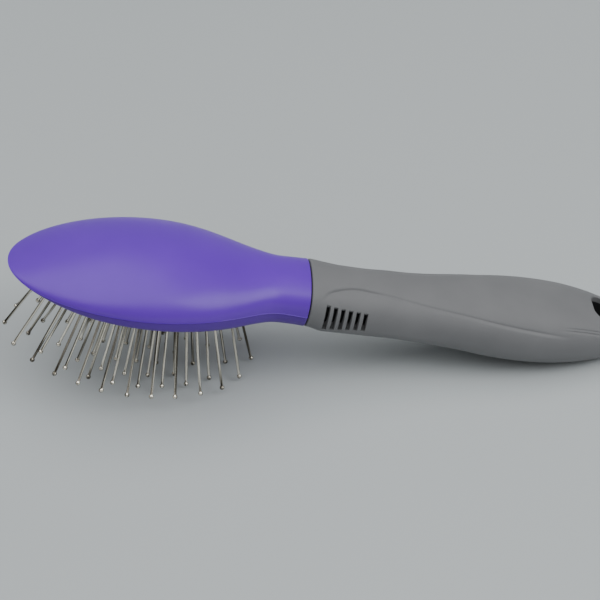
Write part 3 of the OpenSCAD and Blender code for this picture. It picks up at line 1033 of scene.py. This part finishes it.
def flank_at(x, z):
    """Half width of the sleeve at height z, above the widest line."""
    split = float(grip_split_at(x)) - REST_DROP * thumb_rest_at(x)
    up = float(grip_axis_at(x)) + float(grip_thick_at(x)) - split
    return float(grip_half_at(x) * arched(max(0, z - split) / up, GRIP_POWER))


def slot_cutters():
    """Tools that cut the flank slots. Each is shallow at its upper end and runs out there."""
    tools = []
    for i in range(SLOTS):
        length = SLOT_LENGTH * SLOT_SHORTEN**i
        x = SLOT_X + i * SLOT_PITCH
        low, high = SLOT_Z - length / 2, SLOT_Z + length / 2
        foot = zip((SLOT_OUT, SLOT_KNEE, SLOT_FLOOR), SLOT_FOOT)
        line = [(y, low + rise) for y, rise in foot]
        for z in np.linspace(high - SLOT_RUNOUT, high + SLOT_TOP, SLOT_STEPS):
            depth = SLOT_DEPTH * float(smooth_step((high - z) / SLOT_RUNOUT))
            line.append((flank_at(x, z) - depth + SLOT_CLEAR * (z > high), z))
        line.append((SLOT_OUT, high + SLOT_TOP))
        for side in (-1, 1):
            yz = np.array([(side * y, z) for y, z in line])
            middle = yz.mean(0)
            ends = x - SLOT_WIDTH / 2, x + SLOT_WIDTH / 2
            rings = [np.column_stack([np.full(len(yz), end), yz]) for end in ends]
            points, faces = skin(rings, [ends[0], *middle], [ends[1], *middle])
            tools.append(build(f"slot_tool_{i}", SHELL, points, faces, MATERIALS["core"]))
    return tools


def grip_sleeve(material):
    end = [GRIP_END, 0, grip_axis_at(GRIP_END)]
    points, faces = skin(sleeve_outside(), [SLEEVE_X, 0, POLE_Z], end)
    outer = build("sleeve_moulding", SHELL, points, faces, material)
    hollow = inside_rings()
    hollow[0][:, 0] -= HOLLOW_START
    points, faces = skin(hollow, [SLEEVE_X - HOLLOW_START, 0, POLE_Z], inside_end())
    inner = build("hollow_tool", SHELL, points, faces, material)
    return cut(outer, [inner, loop_tool()] + slot_cutters())


def handle_core(material):
    points, faces = skin(inside_rings(), [SLEEVE_X, 0, POLE_Z], inside_end())
    body = build("core_moulding", SHELL, points, faces, material)
    return cut(body, [loop_tool()] + slot_cutters())


def core_tang(material):
    """The tang that reaches into the neck, its stop rib, and the collar that shows in the gap."""
    angles = section_angles()[::INNER_COARSENESS]
    collar = [section(x, angles, COLLAR_INSET) for x in (JOINT_X, SLEEVE_X)]
    points, faces = skin(collar, [JOINT_X, 0, POLE_Z], [SLEEVE_X, 0, POLE_Z])
    piece = build("core_tang", SHELL, points, faces, material)
    tang = (TANG_X, -TANG_HALF, TANG_BOTTOM), (JOINT_X, TANG_HALF, TANG_TOP)
    half, grow = TANG_HALF + STOP_GROW, STOP_GROW / 2
    rib = (STOP_X, -half, TANG_BOTTOM - grow), (STOP_X + STOP_LENGTH, half, TANG_TOP + grow)
    mesh = bmesh.new()
    mesh.from_mesh(piece.data)
    for low, high in (tang, rib):
        made = bmesh.ops.create_cube(mesh, size=1)
        middle = (Vector(low) + Vector(high)) / 2
        place = Matrix.Translation(middle) @ Matrix.Diagonal((*(Vector(high) - Vector(low)), 1))
        bmesh.ops.transform(mesh, matrix=SHELL @ place, verts=made["verts"])
        edges = list({e for v in made["verts"] for e in v.link_edges})
        bmesh.ops.bevel(
            mesh, geom=edges, offset=TANG_BEVEL * MM, segments=3, profile=0.5, affect="EDGES"
        )
    mesh.to_mesh(piece.data)
    mesh.free()
    smooth(piece.data)
    return piece


# ---- assembly ----

MATERIALS = {
    "shell": violet_plastic("shell_plastic"),
    # The frame's copy of the violet plastic is darkened, painted shade
    "frame": violet_plastic("frame_plastic", FRAME_PAINTED_SHADE),
    "grip": grip_rubber(),
    "core": core_plastic(),
    "cushion": cushion_rubber(),
    "steel_painted_reflection": pin_steel(),
}


def put(piece, body, slot, *nodes):
    """Places a rigid piece: the body it rides on, its material slot, which is not used, and the nodes
    it stands for.
    """
    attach(piece, body)
    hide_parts(*nodes)


put(back_shell(MATERIALS["shell"]), "root", "shell_plastic", "back_shell")
put(front_frame(MATERIALS["frame"]), "root", "frame_plastic", "front_frame")
put(grip_sleeve(MATERIALS["grip"]), "root", "grip_rubber", "grip_sleeve")
put(handle_core(MATERIALS["core"]), "root", "core_plastic", "handle_core")
put(core_tang(MATERIALS["core"]), "root", "core_plastic", "handle_core")

pad = cushion_pad(MATERIALS["cushion"])
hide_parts("cushion_pad")
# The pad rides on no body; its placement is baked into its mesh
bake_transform(pad)

draws = np.random.default_rng(WANDER_SEED)
for body, nodes in frame["record"]["behaviour"]["bodies"].items():
    if "row" in body:
        put(pin_row(body, MATERIALS["steel_painted_reflection"], draws), body, "pin_steel", *nodes)

# ---- stage, in metres ----

# The paper sweep: half width, near edge, where it starts to curve up, the curve's radius, height
SWEEP_HALF, SWEEP_NEAR, SWEEP_BEND, SWEEP_R, SWEEP_TOP = 2.5, -1.5, 0.9, 0.5, 2.0
SWEEP_STEPS = 14
# Brightness and warmth of the room, by the height of the direction of view
ROOM_LIGHT, CEILING_LIGHT = 0.07, 0.36
ROOM_HEIGHT, CEILING_HEIGHT = 0.05, 0.6
ROOM_TINT = (1, 0.99, 0.97)
SOFTBOX_TINT = (0.97, 1.0, 1.0)
# The camera: place, direction in degrees, and lens in millimetres
CAMERA_PLACE = (-0.0442, -0.4728, 0.4132)
CAMERA_AZIMUTH, CAMERA_ELEVATION, CAMERA_ROLL = -4.03, 39.01, -0.11
LENS, SENSOR = 99.0, 36.0


def floor_material():
    """Matte paper with faint clouds."""
    n = Nodes("floor_paper").set(IOR=1.4)
    cloud = n.noise(n.place(), 0.002, 3)
    n.wire(Base_Color=n.ramp(cloud, PAPER_DEEP, PAPER), Roughness=0.9)
    return n.material


def make_floor():
    """A paper sweep: flat under the brush, curving up far behind it."""
    rows = [(SWEEP_NEAR, 0.0), (SWEEP_BEND, 0.0)]
    for t in np.linspace(0.1, math.pi / 2, SWEEP_STEPS):
        rows.append((SWEEP_BEND + SWEEP_R * math.sin(t), SWEEP_R * (1 - math.cos(t))))
    rows.append((SWEEP_BEND + SWEEP_R, SWEEP_TOP))
    points = [(x, y, z) for y, z in rows for x in (-SWEEP_HALF, SWEEP_HALF)]
    faces = [(2 * k, 2 * k + 1, 2 * k + 3, 2 * k + 2) for k in range(len(rows) - 1)]
    mesh = bpy.data.meshes.new("paper_sweep")
    mesh.from_pydata(points, [], faces)
    mesh.materials.append(floor_material())
    smooth(mesh)
    floor = bpy.data.objects.new("paper_sweep", mesh)
    bpy.context.scene.collection.objects.link(floor)


def add_softbox(name, place, size, power):
    """A softbox that faces the middle of the brush."""
    light = bpy.data.lights.new(name, "AREA")
    light.shape = "RECTANGLE"
    light.size, light.size_y = size
    light.energy = power
    light.color = SOFTBOX_TINT
    lamp = bpy.data.objects.new(name, light)
    bpy.context.scene.collection.objects.link(lamp)
    lamp.location = place
    lamp.rotation_euler = (-Vector(place)).to_track_quat("-Z", "Y").to_euler()


def make_camera():
    """The camera looks down at the brush from the side."""
    camera = bpy.data.cameras.new("camera")
    camera.lens, camera.sensor_width = LENS, SENSOR
    camera.clip_start, camera.clip_end = 0.01, 20
    eye = bpy.data.objects.new("camera", camera)
    bpy.context.scene.collection.objects.link(eye)
    azimuth, elevation = math.radians(CAMERA_AZIMUTH), math.radians(CAMERA_ELEVATION)
    away = Vector((math.sin(azimuth), -math.cos(azimuth), 0)) * math.cos(elevation)
    away.z = math.sin(elevation)
    roll = Matrix.Rotation(math.radians(CAMERA_ROLL), 3, "Z").to_quaternion()
    eye.rotation_mode = "QUATERNION"
    eye.rotation_quaternion = (-away).to_track_quat("-Z", "Y") @ roll
    eye.location = CAMERA_PLACE
    bpy.context.scene.camera = eye


def make_world():
    """A dim room under a brighter ceiling."""
    world = bpy.data.worlds.new("studio")
    world.use_nodes = True
    tree = world.node_tree
    place = tree.nodes.new("ShaderNodeTexCoord")
    split = tree.nodes.new("ShaderNodeSeparateXYZ")
    ramp = tree.nodes.new("ShaderNodeValToRGB")
    tree.links.new(place.outputs["Generated"], split.inputs["Vector"])
    tree.links.new(split.outputs["Z"], ramp.inputs["Fac"])
    tree.links.new(ramp.outputs["Color"], tree.nodes["Background"].inputs["Color"])
    levels = (ROOM_LIGHT, ROOM_HEIGHT), (CEILING_LIGHT, CEILING_HEIGHT)
    for stop, (light, height) in zip(ramp.color_ramp.elements, levels):
        stop.color = (*(light * tint for tint in ROOM_TINT), 1)
        stop.position = height
    bpy.context.scene.world = world


make_floor()
make_world()
make_camera()
add_softbox("overhead_softbox", (-0.28, -0.12, 1.25), (2.0, 1.6), 18)
add_softbox("side_softbox", (0.9, -0.45, 0.85), (0.8, 0.8), 7.5)
